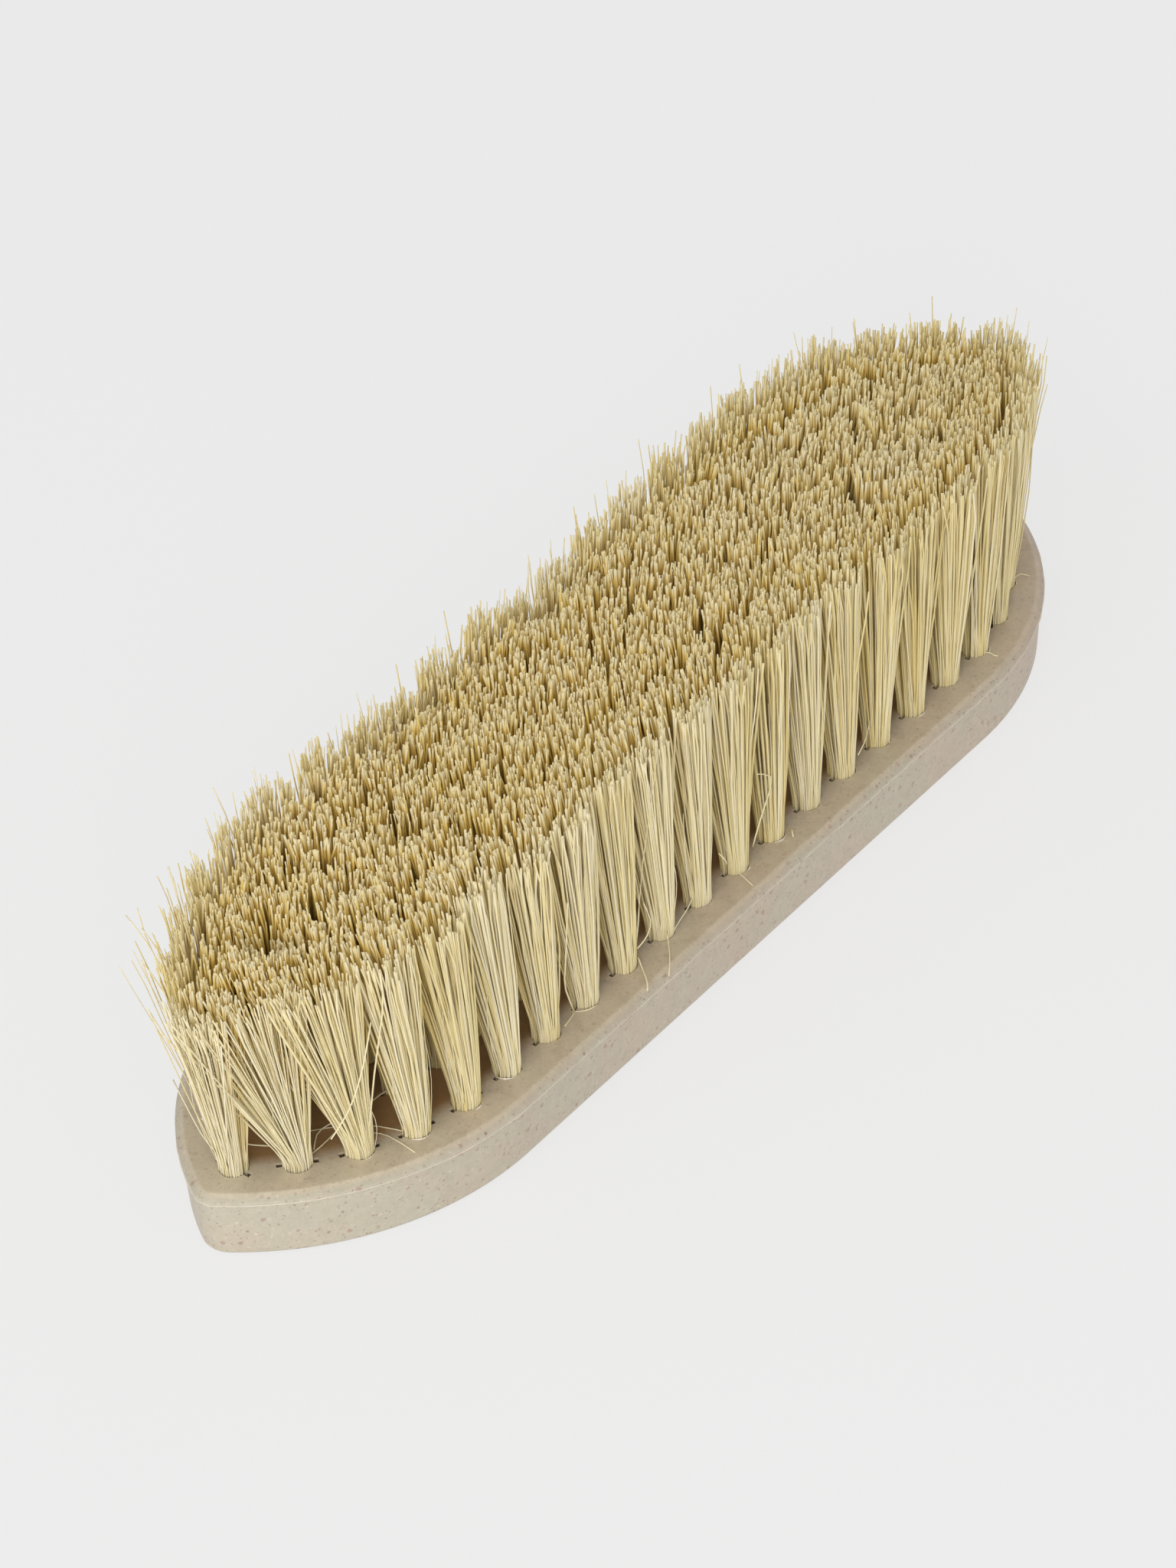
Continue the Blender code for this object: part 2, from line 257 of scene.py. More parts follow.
flecks, flecks_in, flecks_out = new_group(
    "flecks",
    [
        ("Vector", "NodeSocketVector", None),
        ("Cell Density", "NodeSocketFloat", 900.0),
        ("Share", "NodeSocketFloat", 0.4),
        ("Size", "NodeSocketFloat", 0.25),
    ],
    [("Mask", "NodeSocketFloat")],
)
fleck_spot = flecks_in.outputs["Vector"]
ragged = add_node(flecks, "ShaderNodeTexNoise", {"Vector": fleck_spot, "Scale": 4200.0, "Detail": 2.0})
shift = add_node(
    flecks,
    "ShaderNodeVectorMath",
    {0: ragged.outputs["Color"], 1: RAGGED_BY, 2: fleck_spot},
    operation="MULTIPLY_ADD",
)
cells = add_node(
    flecks, "ShaderNodeTexVoronoi", {"Vector": shift.outputs[0], "Scale": flecks_in.outputs["Cell Density"]}
)
chance = add_node(flecks, "ShaderNodeSeparateColor", {"Color": cells.outputs["Color"]})
chosen = calc(flecks, "LESS_THAN", chance.outputs[0], flecks_in.outputs["Share"])
size = calc(flecks, "ADD", chance.outputs[1], SMALLEST_FLECK)
reach = calc(flecks, "MULTIPLY", size, flecks_in.outputs["Size"])
inside = calc(flecks, "SUBTRACT", reach, cells.outputs["Distance"])
inside = calc(flecks, "DIVIDE", inside, FLECK_EDGE, clamp=True)
flecks.links.new(calc(flecks, "MULTIPLY", inside, chosen), flecks_out.inputs["Mask"])

COMPOSITE_ROSE = (0.560, 0.452, 0.350, 1)
COMPOSITE_GREY = (0.530, 0.485, 0.375, 1)
GREY_TO_ROSE = 2.2  # per metre: the mix is greyer at the left end, where it entered the mould
FLECK_DARK = (0.290, 0.200, 0.150, 1)
FLECK_ROSE = (0.420, 0.290, 0.225, 1)
FLECK_PALE = (0.720, 0.650, 0.540, 1)
FLECK_KINDS = (
    (FLECK_ROSE, 620.0, 0.55, 0.22, 0.80),
    (FLECK_ROSE, 1300.0, 0.45, 0.30, 0.62),
    (FLECK_PALE, 1100.0, 0.24, 0.28, 0.32),
    (FLECK_DARK, 640.0, 0.42, 0.16, 0.74),
    (FLECK_DARK, 1600.0, 0.34, 0.28, 0.48),
)  # colour, cells to a metre, share of the cells with a fleck, its size in its cell, and how far it covers
FACE_WARM = (0.655, 0.530, 0.370, 1)  # the drilled face, rubbed with a little of the fibre's dust
FACE_WARMTH = 0.38
FACE_SMUDGE = (0.380, 0.300, 0.210, 1)
MOST_SMUDGED = 0.45
# Painted shade: the face between and inside the rows of tufts, and the hole walls there, are painted dark brown for
# the shade the tufts cast
TUFT_GAP_SHADE = (0.360, 0.185, 0.055, 1)
GAP_SHADE_FROM = 0.0068  # inset from the outline, where the painted shade between the tufts starts
GAP_SHADE_FULL = 0.0090
GAP_SHADE_COVER = 0.85
# Pale of thin slivers: the burrs' own colour, and on the flash line partly the flash's own colour and partly a
# painted highlight
PALE_SLIVER_AND_HIGHLIGHT = (0.850, 0.765, 0.650, 1)
FLASH_HIGHLIGHT_COVER = 0.75
BORE_SHADE = (0.170, 0.105, 0.055, 1)  # painted shade on the walls of the holes and slots
BORE_SHADE_FROM = 0.00025  # below the face
BORE_SHADE_COVER = 0.9
PEEL_HEIGHT = 0.00006

composite, tree, shader = new_material("straw_composite")
place_on = add_node(tree, "ShaderNodeTexCoord").outputs["Object"]
patches = add_node(tree, "ShaderNodeTexNoise", {"Vector": place_on, "Scale": 42.0, "Detail": 2.0})
clouds = add_node(tree, "ShaderNodeTexNoise", {"Vector": place_on, "Scale": 170.0, "Detail": 4.0})
grain = add_node(tree, "ShaderNodeTexNoise", {"Vector": place_on, "Scale": 2200.0, "Detail": 3.0})
blotch = calc(tree, "ADD", calc(tree, "MULTIPLY", clouds.outputs["Fac"], 0.6), patches.outputs["Fac"])
spot = add_node(tree, "ShaderNodeSeparateXYZ", {"Vector": place_on})
blotch = calc(tree, "SUBTRACT", blotch, calc(tree, "MULTIPLY", spot.outputs["X"], GREY_TO_ROSE))
colour = mix_colour(tree, map_range(tree, blotch, 0.55, 1.05), COMPOSITE_ROSE, COMPOSITE_GREY)
for fleck_colour, density, share, size, cover in FLECK_KINDS:
    sockets = {"Vector": place_on, "Cell Density": density, "Share": share, "Size": size}
    fleck = add_node(tree, "ShaderNodeGroup", sockets, node_tree=flecks)
    colour = mix_colour(tree, calc(tree, "MULTIPLY", fleck.outputs["Mask"], cover), colour, fleck_colour)

# How far in from the outline a spot is, as in outline(): along the straight side, then along the taper
height = spot.outputs["Z"]
mirrored = add_node(tree, "ShaderNodeVectorMath", {0: place_on}, operation="ABSOLUTE")
quarter_spot = add_node(tree, "ShaderNodeSeparateXYZ", {"Vector": mirrored.outputs[0]})
past_straight = calc(tree, "MAXIMUM", calc(tree, "SUBTRACT", quarter_spot.outputs["X"], TAPER_X), 0.0)
from_centre = calc(tree, "ADD", quarter_spot.outputs["Y"], TAPER_Y)
arm = add_node(tree, "ShaderNodeCombineXYZ", {"X": past_straight, "Y": from_centre})
arm_length = add_node(tree, "ShaderNodeVectorMath", {0: arm.outputs[0]}, operation="LENGTH")
inset_on = calc(tree, "SUBTRACT", TAPER_RADIUS, arm_length.outputs["Value"])

# The rubbed and smudged face, the painted shade between the tufts, the pale flash line with its painted highlight
# and the painted shade in the bores
on_face = calc(tree, "GREATER_THAN", height, BLOCK_THICKNESS - RIM_DROP / 2)
colour = mix_colour(tree, calc(tree, "MULTIPLY", on_face, FACE_WARMTH), colour, FACE_WARM)
smudges = add_node(
    tree, "ShaderNodeTexNoise", {"Vector": place_on, "Scale": 260.0, "Detail": 5.0, "Roughness": 0.65}
)
smudged = map_range(tree, smudges.outputs["Fac"], 0.52, 0.74, 0.0, MOST_SMUDGED)
colour = mix_colour(tree, calc(tree, "MULTIPLY", on_face, smudged), colour, FACE_SMUDGE)
in_block = calc(tree, "GREATER_THAN", height, BLOCK_THICKNESS - HOLE_DEPTH)
# Painted shade: a dark brown laid on the block inside the outer row of tufts, where the tufts shade it
gap_shade = calc(tree, "MULTIPLY", map_range(tree, inset_on, GAP_SHADE_FROM, GAP_SHADE_FULL), in_block)
colour = mix_colour(tree, calc(tree, "MULTIPLY", gap_shade, GAP_SHADE_COVER), colour, TUFT_GAP_SHADE)
# The flash line is painted pale: partly the flash's own colour, partly a painted highlight along the parting line
flash_line_highlight = calc(tree, "COMPARE", height, LIP_FOOT + FLASH_HEIGHT / 2)
flash_line_highlight.node.inputs[2].default_value = FLASH_HEIGHT * 0.6
colour = mix_colour(tree, calc(tree, "MULTIPLY", flash_line_highlight, FLASH_HIGHLIGHT_COVER), colour, PALE_SLIVER_AND_HIGHLIGHT)
# Painted shade: the walls of the holes and slots, below the face, are painted dark
bore_shade = calc(tree, "MULTIPLY", calc(tree, "GREATER_THAN", inset_on, OUTER_ROW_INSET / 2), in_block)
bore_shade = calc(tree, "MULTIPLY", bore_shade, calc(tree, "LESS_THAN", height, BLOCK_THICKNESS - BORE_SHADE_FROM))
colour = mix_colour(tree, calc(tree, "MULTIPLY", bore_shade, BORE_SHADE_COVER), colour, BORE_SHADE)

# A fine grain in the colour, and the slight peel of a moulded skin
mottle = add_node(tree, "ShaderNodeTexNoise", {"Vector": place_on, "Scale": 620.0, "Detail": 2.0})
grain_shade = calc(tree, "ADD", grain.outputs["Fac"], mottle.outputs["Fac"])
grain_shade = map_range(tree, grain_shade, 0.6, 1.4, 0.90, 1.08)
shade = add_node(tree, "ShaderNodeCombineColor", {label: grain_shade for label in ("Red", "Green", "Blue")})
colour = mix_colour(tree, 1.0, colour, shade.outputs[0], "MULTIPLY")
tree.links.new(colour, shader.inputs["Base Color"])
tree.links.new(map_range(tree, clouds.outputs["Fac"], 0.0, 1.0, 0.40, 0.54), shader.inputs["Roughness"])
peel = add_node(tree, "ShaderNodeTexNoise", {"Vector": place_on, "Scale": 700.0, "Detail": 3.0})
peel_height = peel.outputs["Fac"]
bump = add_node(tree, "ShaderNodeBump", {"Height": peel_height, "Distance": PEEL_HEIGHT, "Strength": 0.5})
tree.links.new(bump.outputs[0], shader.inputs["Normal"])
shader.inputs["Specular IOR Level"].default_value = 0.45

# The moulding, raised level by level from its flat back. The flash swells and thins along the parting line.
FLASH_WAVES = 260  # to a metre, about
FLASH_SWELL = 1.6  # times its reach, where it is widest
FLASH_DIP = -0.3

levels = []
for step in range(EDGE_STEPS + 1):
    angle = pi / 2 * step / EDGE_STEPS
    foot_inset = LIP_STEP + WALL_DRAFT + BACK_EDGE_RADIUS * (1 - sin(angle))
    levels.append((foot_inset, BACK_EDGE_RADIUS * (1 - cos(angle))))
for step in range(1, WALL_STEPS):
    share = step / WALL_STEPS
    level = BACK_EDGE_RADIUS + (LIP_FOOT - BACK_EDGE_RADIUS) * share
    levels.append((LIP_STEP + WALL_DRAFT * (1 - share), level))
levels += [
    (LIP_STEP, LIP_FOOT),
    (EDGE_ROUNDING, LIP_FOOT),
    (0, LIP_FOOT + FLASH_HEIGHT / 2),
    (EDGE_ROUNDING / 2, LIP_FOOT + FLASH_HEIGHT),
    (EDGE_ROUNDING / 2, BLOCK_THICKNESS - RIM_DROP - EDGE_ROUNDING),
    (EDGE_ROUNDING, BLOCK_THICKNESS - RIM_DROP),
    (RIM_WIDTH - EDGE_ROUNDING, BLOCK_THICKNESS - EDGE_ROUNDING / 2),
    (RIM_WIDTH + EDGE_ROUNDING, BLOCK_THICKNESS),
]
bm = bmesh.new()
ring = bm.faces.new([bm.verts.new((x, y, levels[0][1])) for x, y in outline(levels[0][0], BACK_TIP_RADIUS)])
for inset, level in levels[1:]:
    ring = extrude(bm, [ring])[0]
    rounder = (BACK_TIP_RADIUS - TIP_RADIUS) * max(1 - level / LIP_FOOT, 0)
    for vert, (x, y) in zip(ring.verts, outline(inset, TIP_RADIUS + rounder)):
        vert.co = (x, y, level)
    if level == LIP_FOOT + FLASH_HEIGHT / 2:
        for vert in ring.verts:
            reach = FLASH_REACH * max(noise.noise(vert.co * FLASH_WAVES) * FLASH_SWELL, FLASH_DIP)
            outwards = Vector((vert.co.x / 4, vert.co.y, 0)).normalized()
            vert.co += outwards * reach
bmesh.ops.recalc_face_normals(bm, faces=bm.faces)
moulding = bpy.data.meshes.new("moulding")
bm.to_mesh(moulding)
bm.free()

# The drill that every hole is bored with, and what it leaves of the moulding
bm = bmesh.new()
for place in hole_places:
    face = bm.faces.new([bm.verts.new(point + Vector((0, 0, SEAT_GAP))) for point in hole_outline(place)])
    sunk = extrude(bm, [face])
    bmesh.ops.translate(bm, verts=list(sunk[0].verts), vec=(0, 0, -HOLE_DEPTH - SEAT_GAP))
bmesh.ops.recalc_face_normals(bm, faces=bm.faces)
drill = bpy.data.meshes.new("drill")
bm.to_mesh(drill)
bm.free()

blank = bpy.data.objects.new("blank", moulding)
cutter = bpy.data.objects.new("cutter", drill)
bpy.context.scene.collection.objects.link(blank)
bpy.context.scene.collection.objects.link(cutter)
cut = blank.modifiers.new("drill", "BOOLEAN")
cut.operation = "DIFFERENCE"
cut.solver = "EXACT"
cut.object = cutter
drilled = bpy.data.meshes.new_from_object(blank.evaluated_get(bpy.context.evaluated_depsgraph_get()))
bpy.data.objects.remove(blank)
bpy.data.objects.remove(cutter)

# The rims of the holes, broken by the drill: the middle line of their bevel rises and falls
RIM_WAVES = 700  # to a metre, about

bm = bmesh.new()
bm.from_mesh(drilled)
rims = []
for edge in bm.edges:
    level = all(abs(vert.co.z - BLOCK_THICKNESS) < EDGE_ROUNDING / 10 for vert in edge.verts)
    if level and any(abs(face.normal.z) < 0.1 for face in edge.link_faces):
        rims.append(edge)
bmesh.ops.bevel(
    bm, geom=rims, offset=RIM_BURR, offset_type="OFFSET", affect="EDGES", segments=2, profile=0.5, material=-1
)
for vert in bm.verts:
    if RIM_BURR * 0.1 < BLOCK_THICKNESS - vert.co.z < RIM_BURR * 0.6:
        vert.co.z = BLOCK_THICKNESS + RIM_BURR * noise.noise(vert.co * RIM_WAVES)
for face in bm.faces:
    face.smooth = True
for edge in bm.edges:
    level = any(abs(face.normal.z) > 0.9999 for face in edge.link_faces)
    edge.smooth = not level and edge.calc_face_angle(0) < radians(SHARP_FROM)
add_piece("drilled_block", bm, [composite], ["block"])

# The drilled burrs are thin pale slivers of the composite. The drill has lifted one out of the face at the front
# of most of the holes, and each still hangs on to the rim it was torn from.
CLEAN_SHARE = 0.35  # of the holes, which have none
BURR_WIDTH = 0.00022
BURR_HEIGHT = 0.00016
BURR_TURN = 0.4  # how far round the hole a burr's middle lies from the front, in radians
BURR_HALF_ANGLES = (0.35, 0.95)
BURR_SIZES = (0.6, 1.3)
BURR_RAGGED = (0.7, 1.2)
BURR_STEPS = 14

burr_finish, tree, shader = new_material("drilled_burr")
shader.inputs["Base Color"].default_value = PALE_SLIVER_AND_HIGHLIGHT
shader.inputs["Roughness"].default_value = 0.6

rng = Random(7)
bm = bmesh.new()
for place in hole_places:
    if rng.random() < CLEAN_SHARE:
        continue
    middle = -pi / 2 + rng.gauss(0, BURR_TURN)
    half = rng.uniform(*BURR_HALF_ANGLES)
    size = rng.uniform(*BURR_SIZES)
    arcs = []
    for step in range(1, BURR_STEPS):
        angle = middle + half * (2 * step / BURR_STEPS - 1)
        swell = size * sin(pi * step / BURR_STEPS) * rng.uniform(*BURR_RAGGED)
        out = Vector((cos(angle), sin(angle), 0))
        foot = out * (HOLE_DIAMETER / 2 + RIM_BURR / 2)
        edge = foot + out * BURR_WIDTH * swell - Vector((0, 0, RIM_BURR / 2))
        crest = foot + out * BURR_WIDTH * swell * 0.4 + Vector((0, 0, BURR_HEIGHT * swell))
        arc = (foot - Vector((0, 0, RIM_BURR)), edge, crest)
        arcs.append([bm.verts.new(place @ point) for point in arc])
    for first, second in zip(arcs, arcs[1:]):
        for side in range(3):
            bm.faces.new((first[side], first[side - 1], second[side - 1], second[side]))
    bm.faces.new(arcs[0])
    bm.faces.new(reversed(arcs[-1]))
bmesh.ops.recalc_face_normals(bm, faces=bm.faces)
add_piece("drilled_burrs", bm, [burr_finish])

# The wire anchors are bits of flat steel wire, one to a hole. Each was driven in across the fold of its tuft
# until its ends had bitten into the wall of the hole, and it is what holds the tuft.
WIRE_HEIGHT = 0.0019
FOLD_HEIGHT = 0.0011  # of the fibre folded under it
WIRE_BEVEL = 0.00006
WIRE_DARK = (0.50, 0.49, 0.47, 1)
WIRE_BRIGHT = (0.62, 0.61, 0.60, 1)

steel, tree, shader = new_material("anchor_wire")
place_on = add_node(tree, "ShaderNodeTexCoord").outputs["Object"]
scuff = add_node(tree, "ShaderNodeTexNoise", {"Vector": place_on, "Scale": 900.0, "Detail": 3.0})
colour = mix_colour(tree, scuff.outputs["Fac"], WIRE_DARK, WIRE_BRIGHT)
tree.links.new(colour, shader.inputs["Base Color"])
tree.links.new(map_range(tree, scuff.outputs["Fac"], 0.0, 1.0, 0.28, 0.45), shader.inputs["Roughness"])
shader.inputs["Metallic"].default_value = 1.0

bm = bmesh.new()
for place in hole_places:
    seat = Matrix.Translation((0, 0, SEAT_GAP + FOLD_HEIGHT + WIRE_HEIGHT / 2 - HOLE_DEPTH))
    size = Matrix.Diagonal((HOLE_DIAMETER + 2 * WIRE_BITE - SEAT_GAP / 5, WIRE_THICKNESS, WIRE_HEIGHT, 1))
    bmesh.ops.create_cube(bm, size=1, matrix=place @ seat @ size)
bmesh.ops.bevel(
    bm,
    geom=list(bm.edges),
    offset=WIRE_BEVEL,
    offset_type="OFFSET",
    affect="EDGES",
    segments=1,
    profile=0.5,
    material=-1,
)
add_piece("wire_anchors", bm, [steel])

# The tufts are bundles of stiff cream plant fibre, folded in two round their anchors so that two legs stand up
# side by side. They leave the hole as a tight neck, spread until they meet, and are trimmed level.
BRISTLE_HEIGHT = 0.0345
NECK_HEIGHT = 0.0010
NECK_EASE = 0.03  # the share of its height in which a fibre turns from its neck towards its tip
TIP_LEAN = 0.0042
SIDE_LEAN = 0.0022
BUNDLE_RADIUS = 0.00202
FIBRE_SPACING = 0.000245
ROOT_JITTER = 0.12  # of that spacing
FIBRE_THICKNESS = 0.00034
THICKNESS_RANGE = (0.58, 1.22)
ROOT_SQUEEZE = 0.10  # how much thinner a fibre is where the hole packs it
SQUEEZED_TO = 0.4  # and the share of its height in which that wears off
FLATNESS = (0.62, 1.0)  # how deep a fibre is to its width
CUT_SLANT = 0.4  # of the trimmed ends
FIBRE_SIDES = 5
FIBRE_RINGS = (-1, -0.8, 0, 0.08, 0.22, 0.48, 0.86, 1)  # shares of the height above the neck; two lie below it

# Each tuft leans and spreads in its own way, and its fibres gather in clumps
LEAN_SCATTER = (0.0005, 0.0004, 0.0003)
INNER_UNRULY = 1.3  # how much more the inner tufts lean and bend
FIELD_RADIUS = 0.0051
INNER_FIELD_RADIUS = 0.0049
FIELD_RANGE = (0.95, 1.06)
CLUMPS = 88
CLUMP_PULL = 0.85
CLUMP_RISE = 0.00044
END_SCATTER = 0.00034
END_BEND = 0.00022
RISE_SCATTER = 0.00020
BOW_SCATTER = 0.0003
PROUD_SHARE = 0.02  # of the fibres, which stand above the trim
PROUD_BY = (0.0004, 0.0020)
SHORT_SHARE = 0.08  # which end below it
SHORT_BY = (0.0004, 0.0022)
STRAY_SHARE = 0.03  # which point elsewhere
STRAY_SPREAD = (0.0022, 0.0016)
STRAY_THINNESS = 0.75
LOOSE_SHARE = 0.12  # which stand a little apart
LOOSE_SPREAD = (0.0014, 0.0006)

# The trimmed field is worn lower at the tips, has shifted with use and has a hollow near the left tip
WEAR_RIGHT = 0.0014  # how much lower the trim is at the right tip than in the middle
WEAR_LEFT = 0.0027  # and at the left tip
SKEW_RIGHT = 0.0012  # how far the right end of the field lies towards the near side
PULL_RIGHT = 0.0030  # how far it lies towards the middle
PULL_LEFT = 0.0014  # and the left end
FAR_LEAN = Vector((0, 0.0013, 0.0010))  # of the far side's right half, outwards and up
FAR_LEAN_FROM = 0.020
FAR_LEAN_FULL = 0.050
FAR_DIPS = ((-0.028, 0.015, 0.0042), (0.004, 0.010, 0.0040))  # where the far trim is low: X, half width, depth
HOLLOW = Vector((-0.0795, 0.0015))
HOLLOW_RADIUS = 0.0062
HOLLOW_DEPTH = 0.0055
SPLAY = Vector((-0.0075, 0.0060, 0))  # how far the near side's first tufts fan out over the left tip
SPLAYED = {"tuft_near_01": 1.0, "tuft_near_02": 0.5}
SPLAY_FROM = 0.15  # their fibres that root left of this share of the radius do
SPLAY_RANGE = (0.7, 1.1)

# The far side and the tips are ruffled: single fibres are swept outwards there. Thin wisps stand clear of the sides
# of all outer tufts.
FAR_SIDE_FROM = 0.001
RUFFLED_TIPS_FROM = 0.085
RUFFLED_SHARE = 0.055  # of the outward fibres there, and more of them towards the left tip
RUFFLED_ROOTS = 0.35  # of the radius, from where on a fibre of a ruffled tuft is uneven
RUFFLED_SPREAD = 0.0005
RUFFLED_RISE = (0.0002, 0.0007)  # of an uneven fibre: how much in the middle, and its scatter
RUFFLED_THINNESS = 0.8
SWEPT_REACH = 0.0008
SWEPT_LEAST = 0.13  # the smaller it is, the farther the longest of them reach
SWEPT_RISE = (0.0004, 0.0026)
SWEPT_THINNESS = 0.7
WISPS = 5
WISP_THICKNESS = 0.00014
WISP_RANGE = (0.7, 1.3)
WISP_REACH = 0.0019

outer_tip_x = row_place(OUTER_ROW_INSET, row_end(OUTER_ROW_INSET)).translation.x
FAN_ALONG = 1 + TIP_LEAN / outer_tip_x
FAN_ACROSS = 1 - SIDE_LEAN / (HALF_WIDTH - OUTER_ROW_INSET)

FIBRE_PALE = (0.905, 0.832, 0.615, 1)
FIBRE_STRAW = (0.848, 0.735, 0.400, 1)
FIBRE_GOLD = (0.705, 0.555, 0.230, 1)
# The darker gold is painted shade, for the shade deep among the fibres
FIBRE_SHADE_GOLD = (0.765, 0.548, 0.130, 1)
CUT_PALE = (0.910, 0.785, 0.470, 1)
CUT_ROSE = (0.820, 0.630, 0.350, 1)
TUFT_TONE = (0.30, 0.07)  # middle and scatter from tuft to tuft, from pale (0) to gold (1)
TONE_SCATTER = 0.18  # from fibre to fibre
STREAK_SCALE = (5200, 5200, 180)
STREAK_CONTRAST = 0.7
SHADE_GOLD_WARMTH = 0.90  # how far the colour turns to the painted golden shade below the tips, inside the field
SHADE_GOLD_FROM = 0.943  # the share of the height at which it has turned
CUT_GLOW = 0.3  # how far the last of a fibre takes the colour of its cut end
FRINGE_SHADE_GOLD = 0.10  # how much of the painted golden shade shows at the outside of an outer tuft
FAR_SHADE_GOLD = 0.25  # and on the far side
SHADE_GOLD_GAIN = 0.8  # how much more of it shows for each bundle radius inwards
SHADE_GOLD_GAIN_FROM = -0.6  # in those radii from the middle of the tuft
SHADE_GOLD_FADE = 4.2  # per metre: the inner tufts' painted golden shade fades towards the right end, so they are paler there
FRINGE_WARMTH = 1.6  # per metre: the outer tufts are yellower there
FAR_LIT_THROUGH_TINT = 0.16  # how much yellower the far side's are: painted light, for the light that shines through their fibres

# Streaks along each fibre, which vary fast across it and slowly up it
streaks, streaks_in, streaks_out = new_group(
    "streaks", [("Vector", "NodeSocketVector", None)], [("Value", "NodeSocketFloat")]
)
sockets = {0: streaks_in.outputs["Vector"], 1: STREAK_SCALE}
drawn = add_node(streaks, "ShaderNodeVectorMath", sockets, operation="MULTIPLY").outputs[0]
streak_noise = add_node(streaks, "ShaderNodeTexNoise", {"Vector": drawn, "Scale": 1.0, "Detail": 2.0})
streaks.links.new(streak_noise.outputs["Fac"], streaks_out.inputs["Value"])

fibre, tree, shader = new_material("plant_fibre")
place_on = add_node(tree, "ShaderNodeTexCoord").outputs["Object"]
tone = add_node(tree, "ShaderNodeAttribute", attribute_name="tone").outputs["Fac"]
along = add_node(tree, "ShaderNodeAttribute", attribute_name="along").outputs["Fac"]
deep = add_node(tree, "ShaderNodeAttribute", attribute_name="deep").outputs["Fac"]
streak = add_node(tree, "ShaderNodeGroup", {"Vector": place_on}, node_tree=streaks).outputs[0]
streaked = calc(tree, "MULTIPLY", calc(tree, "SUBTRACT", streak, 0.5), STREAK_CONTRAST)
warmth = calc(tree, "ADD", tone, streaked, clamp=True)
ramp = add_node(tree, "ShaderNodeValToRGB", {"Fac": warmth})
ramp.color_ramp.elements[0].color = FIBRE_PALE
ramp.color_ramp.elements[1].color = FIBRE_GOLD
ramp.color_ramp.elements.new(0.5).color = FIBRE_STRAW
# Painted shade: below the tips and above the necks the colour turns to the darker gold, as far as the fibre's deep
# value says
below_tip = map_range(tree, along, 1.0, SHADE_GOLD_FROM)
above_neck = map_range(tree, along, 0.05, 0.55, 0.35)
shaded = calc(tree, "MULTIPLY", below_tip, above_neck)
shaded = calc(tree, "MULTIPLY", shaded, calc(tree, "MULTIPLY", deep, SHADE_GOLD_WARMTH))
colour = mix_colour(tree, shaded, ramp.outputs[0], FIBRE_SHADE_GOLD)
near_cut = map_range(tree, along, 0.982, 0.996)
colour = mix_colour(tree, calc(tree, "MULTIPLY", near_cut, CUT_GLOW), colour, CUT_PALE)
tree.links.new(colour, shader.inputs["Base Color"])
tree.links.new(map_range(tree, streak, 0.0, 1.0, 0.38, 0.62), shader.inputs["Roughness"])
shader.inputs["Specular IOR Level"].default_value = 0.04

cut_end, tree, shader = new_material("fibre_cut_end")
tone = add_node(tree, "ShaderNodeAttribute", attribute_name="tone").outputs["Fac"]
tree.links.new(mix_colour(tree, tone, CUT_PALE, CUT_ROSE), shader.inputs["Base Color"])
shader.inputs["Roughness"].default_value = 0.7

# One straight fibre, a ring of points for each share of its height, that every fibre is a bent copy of
bm = bmesh.new()
bmesh.ops.create_circle(bm, cap_ends=True, segments=FIBRE_SIDES, radius=1)
face = bm.faces[:][0]
for step in range(1, len(FIBRE_RINGS)):
    face = extrude(bm, [face])[0]
    for vert in face.verts:
        vert.co.z = step
bmesh.ops.recalc_face_normals(bm, faces=bm.faces)
for side in bm.faces:
    side.smooth = abs(side.normal.z) < 0.5
    side.material_index = 1 if side.normal.z > 0.5 else 0
for label in ("tone", "along", "deep"):
    bm.verts.layers.float.new(label)
straight_fibre = bpy.data.meshes.new("straight_fibre")
bm.to_mesh(straight_fibre)
bm.free()


def scattered(rng, *spreads):
    """A random shift with this spread along each axis."""
    return Vector([rng.gauss(0, spread) for spread in spreads])


def lay_fibre(bm, path, thickness, tone, depth, rng):
    """Adds a copy of the straight fibre, bent along a path of as many points as it has rings."""
    first = len(bm.verts)
    bm.from_mesh(straight_fibre)
    bm.verts.ensure_lookup_table()
    tone_layer = bm.verts.layers.float["tone"]
    along_layer = bm.verts.layers.float["along"]
    shade_layer = bm.verts.layers.float["deep"]
    last = len(path) - 1
    spin = rng.uniform(0, pi)
    flatness = rng.uniform(*FLATNESS)
    start = Vector((cos(spin), sin(spin), 0.1))
    frames = []
    for step, point in enumerate(path):
        way = (path[min(step + 1, last)] - path[max(step - 1, 0)]).normalized()
        if step == last:
            slant = Vector((rng.uniform(-CUT_SLANT, CUT_SLANT), rng.uniform(-CUT_SLANT, CUT_SLANT), 0))
            way = (way + slant).normalized()
        wide = (start - way * start.dot(way)).normalized()
        deep = way.cross(wide)
        squeeze = ROOT_SQUEEZE * (1 - min(max(FIBRE_RINGS[step] / SQUEEZED_TO, 0), 1))
        half = thickness / 2 * (1 - squeeze)
        frames.append((point, wide * half, deep * half * flatness))
    for vert in bm.verts[first:]:
        step = round(vert.co.z)
        point, wide, deep = frames[step]
        vert.co = point + wide * vert.co.x + deep * vert.co.y
        vert[tone_layer] = tone
        vert[along_layer] = max(FIBRE_RINGS[step], 0)
        vert[shade_layer] = depth


